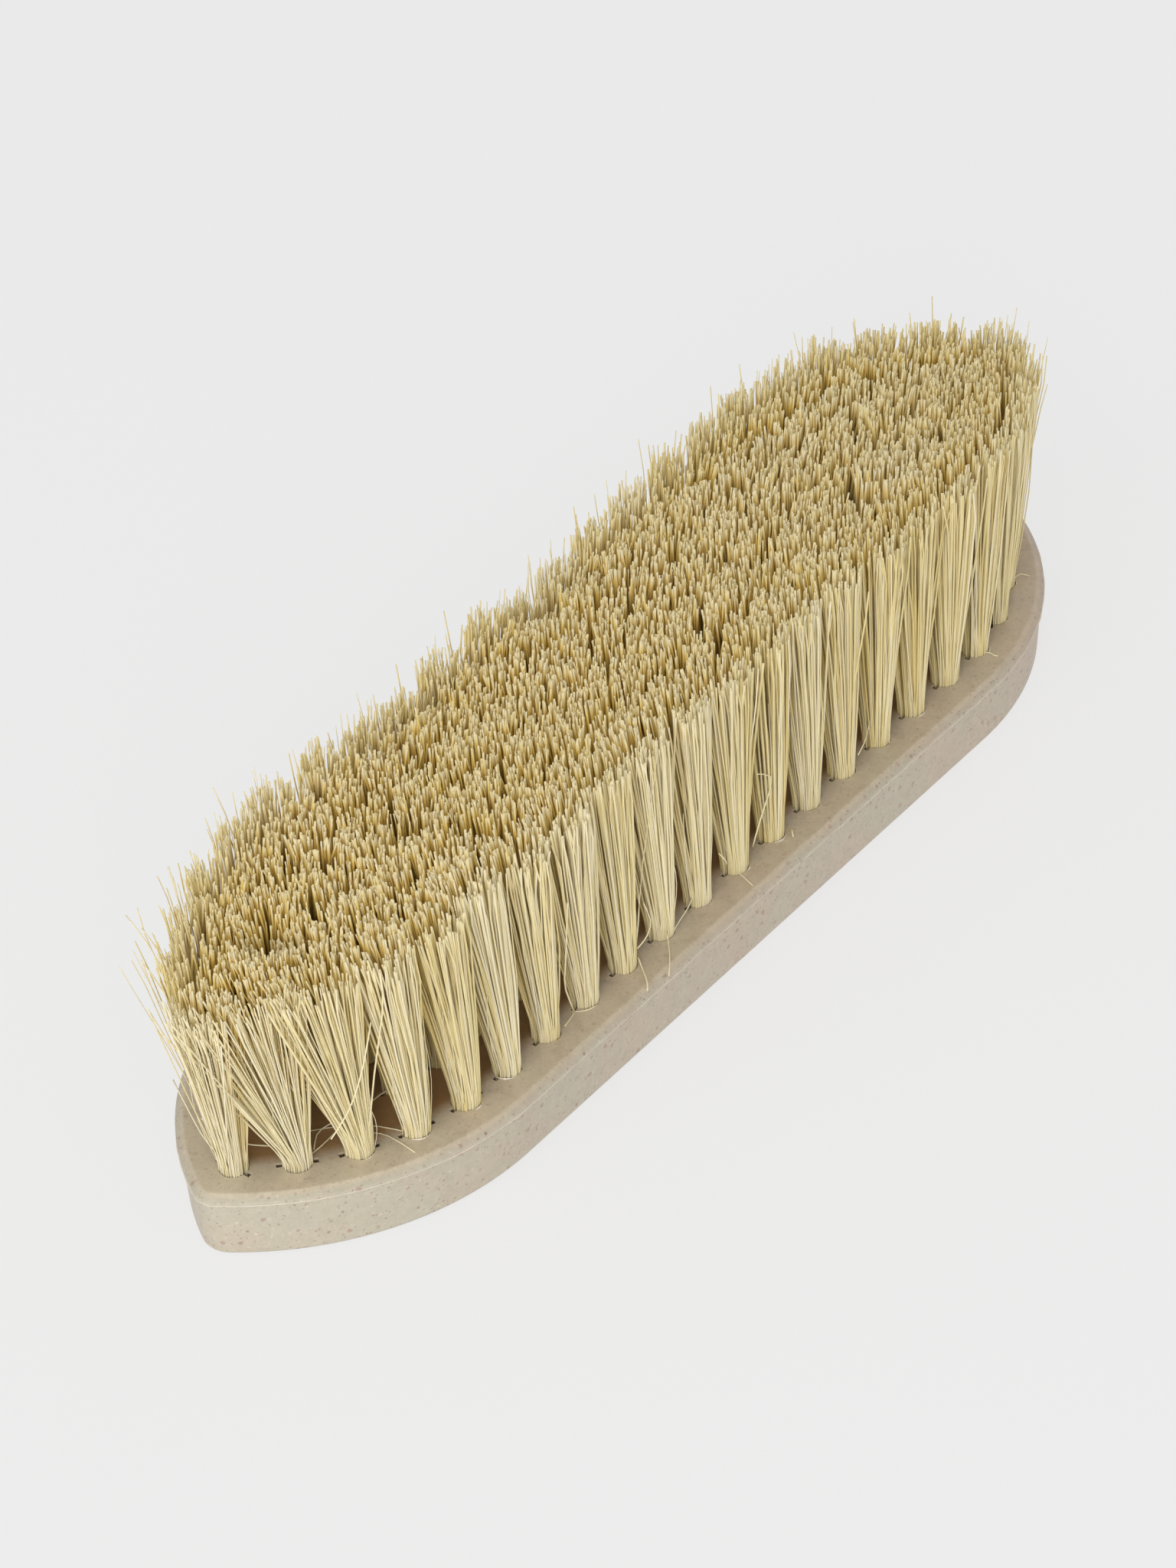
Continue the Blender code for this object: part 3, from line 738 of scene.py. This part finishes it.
def root_spots(rng):
    """Where the fibres of a tuft stand in their hole: a packed half disc on each side of the wire."""
    spots = []
    for side in (-1, 1):
        y = WIRE_THICKNESS / 2 + FIBRE_THICKNESS / 2
        while y < BUNDLE_RADIUS:
            half = sqrt(BUNDLE_RADIUS**2 - y**2)
            count = int(2 * half / FIBRE_SPACING)
            for step in range(count + 1):
                x = (step - count / 2) * FIBRE_SPACING
                spots.append(Vector((x, side * y)) + scattered(rng, 1, 1) * FIBRE_SPACING * ROOT_JITTER)
            y += FIBRE_SPACING * sqrt(3) / 2
    return spots


def tuft_top(place, unruly, rng):
    """The middle of a tuft's trimmed top, as a matrix that is turned like the tuft's hole."""
    x, y, z = place.translation
    away = abs(x) / outer_tip_x
    lean = scattered(rng, *LEAN_SCATTER) * unruly
    if x > 0:
        lean -= Vector((PULL_RIGHT * away**6, SKEW_RIGHT * away**2, WEAR_RIGHT * away**6))
    else:
        lean += Vector((PULL_LEFT * away**2, 0, -WEAR_LEFT * away**3))
    if y > 0:
        to_far = y / (HALF_WIDTH - OUTER_ROW_INSET)
        lean += FAR_LEAN * to_far * min(max((x - FAR_LEAN_FROM) / (FAR_LEAN_FULL - FAR_LEAN_FROM), 0), 1)
        lean.z -= to_far**3 * sum(depth * max(1 - abs(x - dip) / half, 0) for dip, half, depth in FAR_DIPS)
    fanned = Vector((x * FAN_ALONG, y * FAN_ACROSS, z + BRISTLE_HEIGHT))
    return Matrix.Translation(fanned + lean) @ place.to_3x3().to_4x4()


def fibre_path(place, spot, tip, bow):
    """A fibre's way from under the anchor, up beside it to its spot in the neck, and out to its tip."""
    root = place @ Vector((*spot, 0))
    neck = root + Vector((0, 0, NECK_HEIGHT))
    foot = SEAT_GAP + FIBRE_THICKNESS + FOLD_HEIGHT * (1 - abs(spot.y) / BUNDLE_RADIUS) / 3
    path = [place @ Vector((spot.x, 0, foot - HOLE_DEPTH))]
    path.append(root + Vector((0, 0, SEAT_GAP + FOLD_HEIGHT - HOLE_DEPTH)))
    for share in FIBRE_RINGS[2:]:
        spread = (1 + NECK_EASE) * share**2 / (share + NECK_EASE)
        point = neck.lerp(tip, spread)
        point.z = neck.z + (tip.z - neck.z) * share
        path.append(point + bow * 4 * share * (1 - share))
    return path


def add_wisps(bm, place, top, field, rng):
    """Thin fibres at the outside of a tuft: each bows out from the neck and ends part of the way up."""
    last = len(FIBRE_RINGS) - 1
    for _ in range(WISPS):
        side = rng.choice((-1, 1))
        root = Vector((side * rng.uniform(0.5, 0.9), -rng.uniform(0, 0.5), -0.3)) * BUNDLE_RADIUS
        tip = Vector((side * rng.uniform(-0.2, 0.8), -rng.uniform(0.1, 0.7), 0)) * field
        root = place @ root
        tip = root.lerp(top @ tip, rng.uniform(0.3, 0.8))
        bow = place.to_3x3() @ Vector((side * rng.uniform(0.3, 1), -rng.uniform(0, 0.7), 0)) * WISP_REACH
        path = []
        for step in range(last + 1):
            share = step / last
            path.append(root.lerp(tip, share) + bow * 4 * share**1.3 * (1 - share))
        lay_fibre(bm, path, WISP_THICKNESS * rng.uniform(*WISP_RANGE), 0, 0, rng)


def add_tuft(bm, place, outward, splayed, rng):
    """The fibres of one tuft, laid one by one from the fold to the trimmed top."""
    x, y, _ = place.translation
    far_side = y > FAR_SIDE_FROM
    unruly = 1 if outward else INNER_UNRULY
    top = tuft_top(place, unruly, rng)
    ruffled = 0.0
    if outward and (far_side or abs(x) > RUFFLED_TIPS_FROM):
        ruffled = RUFFLED_SHARE * (1 + 2 * (x / outer_tip_x) ** 2 if x < 0 else 1)
    field = (FIELD_RADIUS if outward else INNER_FIELD_RADIUS) * rng.uniform(*FIELD_RANGE)
    flare = field / BUNDLE_RADIUS
    clumps = []
    for _ in range(CLUMPS):
        angle = rng.uniform(0, 2 * pi)
        reach = field * sqrt(rng.random())
        clumps.append((Vector((reach * cos(angle), reach * sin(angle))), rng.gauss(0, CLUMP_RISE)))
    tuft_tone = rng.gauss(*TUFT_TONE)
    if outward:
        # The far side's tufts are painted yellower for the light shining through them
        tuft_tone += FAR_LIT_THROUGH_TINT if far_side else FRINGE_WARMTH * x
    for spot in root_spots(rng):
        # Where the fibre ends on the trimmed top, and how far above it
        end = spot * flare + scattered(rng, END_SCATTER, END_SCATTER)
        clump, clump_rise = min(clumps, key=lambda item: (item[0] - end).length)
        end = end.lerp(clump, CLUMP_PULL * rng.uniform(0.5, 1))
        rise = clump_rise + rng.gauss(0, RISE_SCATTER)
        luck = rng.random()
        if luck < PROUD_SHARE:
            rise += rng.uniform(*PROUD_BY)
        elif luck > 1 - SHORT_SHARE:
            rise -= rng.uniform(*SHORT_BY)
        thickness = FIBRE_THICKNESS * rng.uniform(*THICKNESS_RANGE)
        luck = rng.random()
        if luck < STRAY_SHARE:
            end += scattered(rng, *STRAY_SPREAD)
            thickness *= STRAY_THINNESS
        elif luck < STRAY_SHARE + LOOSE_SHARE:
            end += scattered(rng, *LOOSE_SPREAD)
        swept = 0.0
        if ruffled and spot.y < -RUFFLED_ROOTS * BUNDLE_RADIUS:
            end += Vector((rng.gauss(0, RUFFLED_SPREAD), 0))
            rise += rng.gauss(*RUFFLED_RISE)
            thickness *= RUFFLED_THINNESS
        if spot.y < 0 and rng.random() < ruffled:
            swept = SWEPT_REACH / (rng.random() + SWEPT_LEAST)
            rise += rng.uniform(*SWEPT_RISE)
            thickness *= SWEPT_THINNESS
        tip = top @ Vector((end.x, end.y - swept, rise - swept**2 / (2 * BRISTLE_HEIGHT)))

        # The fan over the left tip, and the hollow
        to_left = min(max(SPLAY_FROM - ((place @ Vector((*spot, 0))).x - x) / BUNDLE_RADIUS, 0), 1)
        over = SPLAY * splayed * to_left * rng.uniform(*SPLAY_RANGE)
        tip += over - Vector((0, 0, over.length_squared / BRISTLE_HEIGHT))
        tip.z -= HOLLOW_DEPTH * max(1 - (tip.xy - HOLLOW).length / HOLLOW_RADIUS, 0)
        path = fibre_path(place, spot, tip, scattered(rng, BOW_SCATTER, BOW_SCATTER).to_3d())
        path[-2] += scattered(rng, END_BEND, END_BEND).to_3d() * unruly

        # How much of the painted golden shade shows
        depth = 1 - SHADE_GOLD_FADE * max(x, 0)
        if outward:
            depth = FRINGE_SHADE_GOLD + SHADE_GOLD_GAIN * (spot.y / BUNDLE_RADIUS - SHADE_GOLD_GAIN_FROM)
            depth = min(max(depth, FAR_SHADE_GOLD if far_side else FRINGE_SHADE_GOLD), 1)
        tone = min(max(rng.gauss(tuft_tone, TONE_SCATTER), 0), 1)
        lay_fibre(bm, path, thickness, tone, depth, rng)
    if outward:
        add_wisps(bm, place, top, field, rng)


for seed, (node, places) in enumerate(sorted(holes.items())):
    rng = Random(seed)
    bm = bmesh.new()
    outward = node.startswith(("tuft_near", "tuft_far", "tuft_outer"))
    for place in places:
        add_tuft(bm, place, outward, SPLAYED.get(node, 0), rng)
    name = node.replace("tuft", "fibres").replace("strip", "fibres")
    add_piece(name, bm, [fibre, cut_end], [node])

# A few fibres have come loose or were cut short. They lie on the face with one end caught in a tuft, bend round
# the rims of holes or lean out of the left end, and each is laid through a few listed points.
LOOSE_THICKNESS = 0.00026
LOOSE_RANGE = (0.8, 1.15)
LOOSE_TONES = (0, 0.3)
FACE = BLOCK_THICKNESS + LOOSE_THICKNESS / 2
LOOSE_FIBRES = (
    ((-0.0840, -0.0015, FACE), (-0.0784, -0.0064, FACE), (-0.0752, -0.0107, FACE), (-0.0737, -0.0150, FACE)),
    ((-0.0838, -0.0070, FACE), (-0.0813, -0.0058, 0.0122), (-0.0786, -0.0068, 0.0128), (-0.0760, -0.0085, 0.0130)),
    ((-0.0868, -0.0072, FACE), (-0.0826, -0.0078, 0.0120), (-0.0798, -0.0080, 0.0124), (-0.0776, -0.0096, 0.0126)),
    ((-0.0780, -0.0090, 0.0124), (-0.0740, -0.0082, 0.0126), (-0.0697, -0.0086, 0.0128), (-0.0660, -0.0100, 0.0130)),
    ((-0.0772, -0.0100, FACE), (-0.0758, -0.0130, FACE), (-0.0759, -0.0160, FACE), (-0.0764, -0.0190, FACE)),
    ((-0.0890, -0.0150, 0.0210), (-0.0860, -0.0162, 0.0250), (-0.0832, -0.0166, 0.0302), (-0.0800, -0.0160, 0.0360)),
    ((-0.0429, -0.0215, 0.0344), (-0.0428, -0.0206, 0.0242), (-0.0421, -0.0196, 0.0180), (-0.0398, -0.0192, FACE)),
    ((-0.0400, -0.0189, FACE), (-0.0394, -0.0196, FACE), (-0.0384, -0.0205, FACE), (-0.0370, -0.0209, FACE)),
    ((-0.0398, -0.0192, FACE), (-0.0410, -0.0195, FACE), (-0.0420, -0.0197, FACE), (-0.0430, -0.0199, FACE)),
    ((-0.0256, -0.0200, 0.0122), (-0.0266, -0.0215, FACE), (-0.0285, -0.0237, FACE), (-0.0298, -0.0247, 0.0110)),
    ((-0.0192, -0.0204, 0.0128), (-0.0206, -0.0218, 0.0118), (-0.0228, -0.0236, 0.0116), (-0.0250, -0.0250, 0.0106)),
    ((-0.0178, -0.0205, FACE), (-0.0160, -0.0200, 0.0118), (-0.0120, -0.0195, 0.0128), (-0.0088, -0.0180, 0.0136)),
    ((-0.0252, -0.0212, 0.0223), (-0.0238, -0.0212, 0.0180), (-0.0250, -0.0212, 0.0160), (-0.0264, -0.0206, 0.0146)),
    ((-0.0934, 0.0004, 0.0118), (-0.0929, 0.0046, 0.0140), (-0.0917, 0.0080, 0.0160), (-0.0896, 0.0128, 0.0188)),
    ((-0.0930, 0.0050, 0.0180), (-0.0921, 0.0020, 0.0156), (-0.0900, -0.0006, 0.0138), (-0.0872, -0.0030, 0.0126)),
    ((-0.0872, 0.0062, 0.0130), (-0.0880, 0.0092, 0.0260), (-0.0882, 0.0150, 0.0390), (-0.0874, 0.0205, 0.0432)),
    ((-0.0868, 0.0066, 0.0130), (-0.0872, 0.0090, 0.0260), (-0.0872, 0.0142, 0.0376), (-0.0880, 0.0172, 0.0428)),
    ((-0.0802, 0.0122, 0.0130), (-0.0796, 0.0140, 0.0260), (-0.0784, 0.0182, 0.0380), (-0.0766, 0.0218, 0.0440)),
    ((-0.0800, 0.0122, 0.0130), (-0.0800, 0.0138, 0.0260), (-0.0794, 0.0172, 0.0380), (-0.0780, 0.0198, 0.0440)),
    ((-0.0924, 0.0006, 0.0130), (-0.0934, 0.0032, 0.0260), (-0.0938, 0.0080, 0.0380), (-0.0938, 0.0118, 0.0428)),
    ((0.0806, -0.0124, 0.0122), (0.0817, -0.0131, FACE), (0.0830, -0.0137, 0.0120), (0.0840, -0.0148, FACE)),
    ((0.0632, -0.0196, FACE), (0.0640, -0.0208, FACE), (0.0638, -0.0216, FACE), (0.0640, -0.0222, FACE)),
    ((0.0043, -0.0200, 0.0261), (0.0069, -0.0208, 0.0238), (0.0039, -0.0206, 0.0179), (0.0031, -0.0198, 0.0134)),
    ((0.0003, -0.0155, 0.0122), (-0.0006, -0.0180, 0.0120), (-0.0015, -0.0208, 0.0118), (-0.0023, -0.0236, FACE)),
    ((0.0036, -0.0214, 0.0462), (0.0022, -0.0218, 0.0408), (0.0018, -0.0215, 0.0370), (0.0021, -0.0207, 0.0332)),
    ((0.0337, -0.0195, 0.0170), (0.0322, -0.0201, 0.0160), (0.0306, -0.0205, 0.0150), (0.0290, -0.0206, 0.0141)),
    ((0.0114, -0.0206, FACE), (0.0111, -0.0211, 0.0118), (0.0107, -0.0215, 0.0118), (0.0103, -0.0219, FACE)),
    ((-0.0045, -0.0206, 0.0155), (-0.0048, -0.0207, 0.0164), (-0.0052, -0.0205, 0.0172), (-0.0055, -0.0200, 0.0179)),
)


def smooth_path(points, count):
    """This many places along a smooth curve through the points."""
    last = len(points) - 1
    path = []
    for step in range(count):
        share = last * step / (count - 1)
        part = min(int(share), last - 1)
        share -= part
        before, first, second, after = (points[min(max(part + shift, 0), last)] for shift in (-1, 0, 1, 2))
        point = (second - before) * share
        point += (2 * before - 5 * first + 4 * second - after) * share**2
        point += (3 * first - before - 3 * second + after) * share**3
        path.append(first + point / 2)
    return path


rng = Random(11)
bm = bmesh.new()
for points in LOOSE_FIBRES:
    path = smooth_path([Vector(point) for point in points], len(FIBRE_RINGS))
    thickness = LOOSE_THICKNESS * rng.uniform(*LOOSE_RANGE)
    lay_fibre(bm, path, thickness, rng.uniform(*LOOSE_TONES), 0, rng)
add_piece("loose_fibres", bm, [fibre, cut_end])

# The table: a pale lit panel under the brush, in an even white room. A large softbox stands low on the left, one
# beside the camera, a weak one low in front and a weak one behind on the right. The panel can't be seen from below,
# so that the back of the brush can.
FLOOR_PALE = (0.18, 0.18, 0.18, 1)
FLOOR_GAP = 0.0001  # keeps the flat back and the floor from sharing one plane
FLOOR_GLOW = 0.685
FLOOR_SIZE = 6.0
ROOM_STRENGTH = 0.52
LIGHTS = (
    ("left_softbox", Vector((-1.02, -0.12, 0.62)), 4.60, 0.90),
    ("camera_softbox", Vector((-0.86, -0.62, 0.56)), 3.5, 0.50),
    ("front_softbox", Vector((-0.50, -1.04, 0.50)), 0.7, 1.10),
    ("right_softbox", Vector((1.07, 0.24, 0.52)), 1.1, 0.70),
)  # name, where it stands, watts, and how wide it is

floor_finish, tree, shader = new_material("pale_floor")
place_on = add_node(tree, "ShaderNodeTexCoord").outputs["Object"]
tooth = add_node(tree, "ShaderNodeTexNoise", {"Vector": place_on, "Scale": 60.0, "Detail": 2.0})
tree.links.new(map_range(tree, tooth.outputs["Fac"], 0.0, 1.0, 0.86, 0.92), shader.inputs["Roughness"])
shader.inputs["Base Color"].default_value = FLOOR_PALE
shader.inputs["Emission Color"].default_value = (1, 1, 1, 1)
shader.inputs["Emission Strength"].default_value = FLOOR_GLOW
shader.inputs["Specular IOR Level"].default_value = 0.1
from_below = add_node(tree, "ShaderNodeNewGeometry").outputs["Backfacing"]
nothing = add_node(tree, "ShaderNodeBsdfTransparent").outputs[0]
seen_from_above = add_node(tree, "ShaderNodeMixShader", {0: from_below, 1: shader.outputs[0], 2: nothing})
tree.links.new(seen_from_above.outputs[0], tree.nodes["Material Output"].inputs["Surface"])
bm = bmesh.new()
bmesh.ops.create_grid(bm, x_segments=1, y_segments=1, size=FLOOR_SIZE / 2)
bmesh.ops.translate(bm, verts=list(bm.verts), vec=(0, 0, -FLOOR_GAP))
floor_mesh = bpy.data.meshes.new("floor")
bm.to_mesh(floor_mesh)
bm.free()
floor_mesh.materials.append(floor_finish)
floor = bpy.data.objects.new("floor", floor_mesh)
bpy.context.scene.collection.objects.link(floor)

room = bpy.data.worlds.new("room")
room.use_nodes = True
room.node_tree.nodes["Background"].inputs["Color"].default_value = (1, 1, 1, 1)
room.node_tree.nodes["Background"].inputs["Strength"].default_value = ROOM_STRENGTH
bpy.context.scene.world = room

for name, stand, watts, width in LIGHTS:
    light_data = bpy.data.lights.new(name, "AREA")
    light_data.energy = watts
    light_data.size = width
    light = bpy.data.objects.new(name, light_data)
    light.location = stand
    light.rotation_euler = stand.to_track_quat("Z", "Y").to_euler()
    light.visible_camera = False
    bpy.context.scene.collection.objects.link(light)

# The camera stands where the photograph's did: its place, aim, roll and lens fit the drilled holes, the parting
# line and the outline of the block in the picture.
VIEW_AZIMUTH = radians(-52.069)
VIEW_ELEVATION = radians(38.608)
VIEW_ROLL = radians(-2.899)
VIEW_DISTANCE = 0.9106
AIM_RIGHT = -0.0062
AIM_UP = 0.0149
FOCAL_LENGTH_MM = 140.6
SENSOR_MM = 36

level = cos(VIEW_ELEVATION)
away = Vector((sin(VIEW_AZIMUTH) * level, -cos(VIEW_AZIMUTH) * level, sin(VIEW_ELEVATION)))
level_right = Vector((0, 0, 1)).cross(away).normalized()
aim = level_right * AIM_RIGHT + away.cross(level_right) * AIM_UP
eye = away * VIEW_DISTANCE
back = (eye - aim).normalized()
right = Vector((0, 0, 1)).cross(back).normalized()
up = back.cross(right)
rolled_right = right * cos(VIEW_ROLL) + up * sin(VIEW_ROLL)
rolled_up = up * cos(VIEW_ROLL) - right * sin(VIEW_ROLL)
camera_data = bpy.data.cameras.new("camera")
camera_data.lens = FOCAL_LENGTH_MM
camera_data.sensor_width = SENSOR_MM
camera = bpy.data.objects.new("camera", camera_data)
turn = Matrix((rolled_right, rolled_up, back)).transposed().to_4x4()
camera.matrix_world = Matrix.Translation(eye) @ turn
bpy.context.scene.collection.objects.link(camera)
bpy.context.scene.camera = camera
bpy.context.scene.view_settings.view_transform = "Standard"
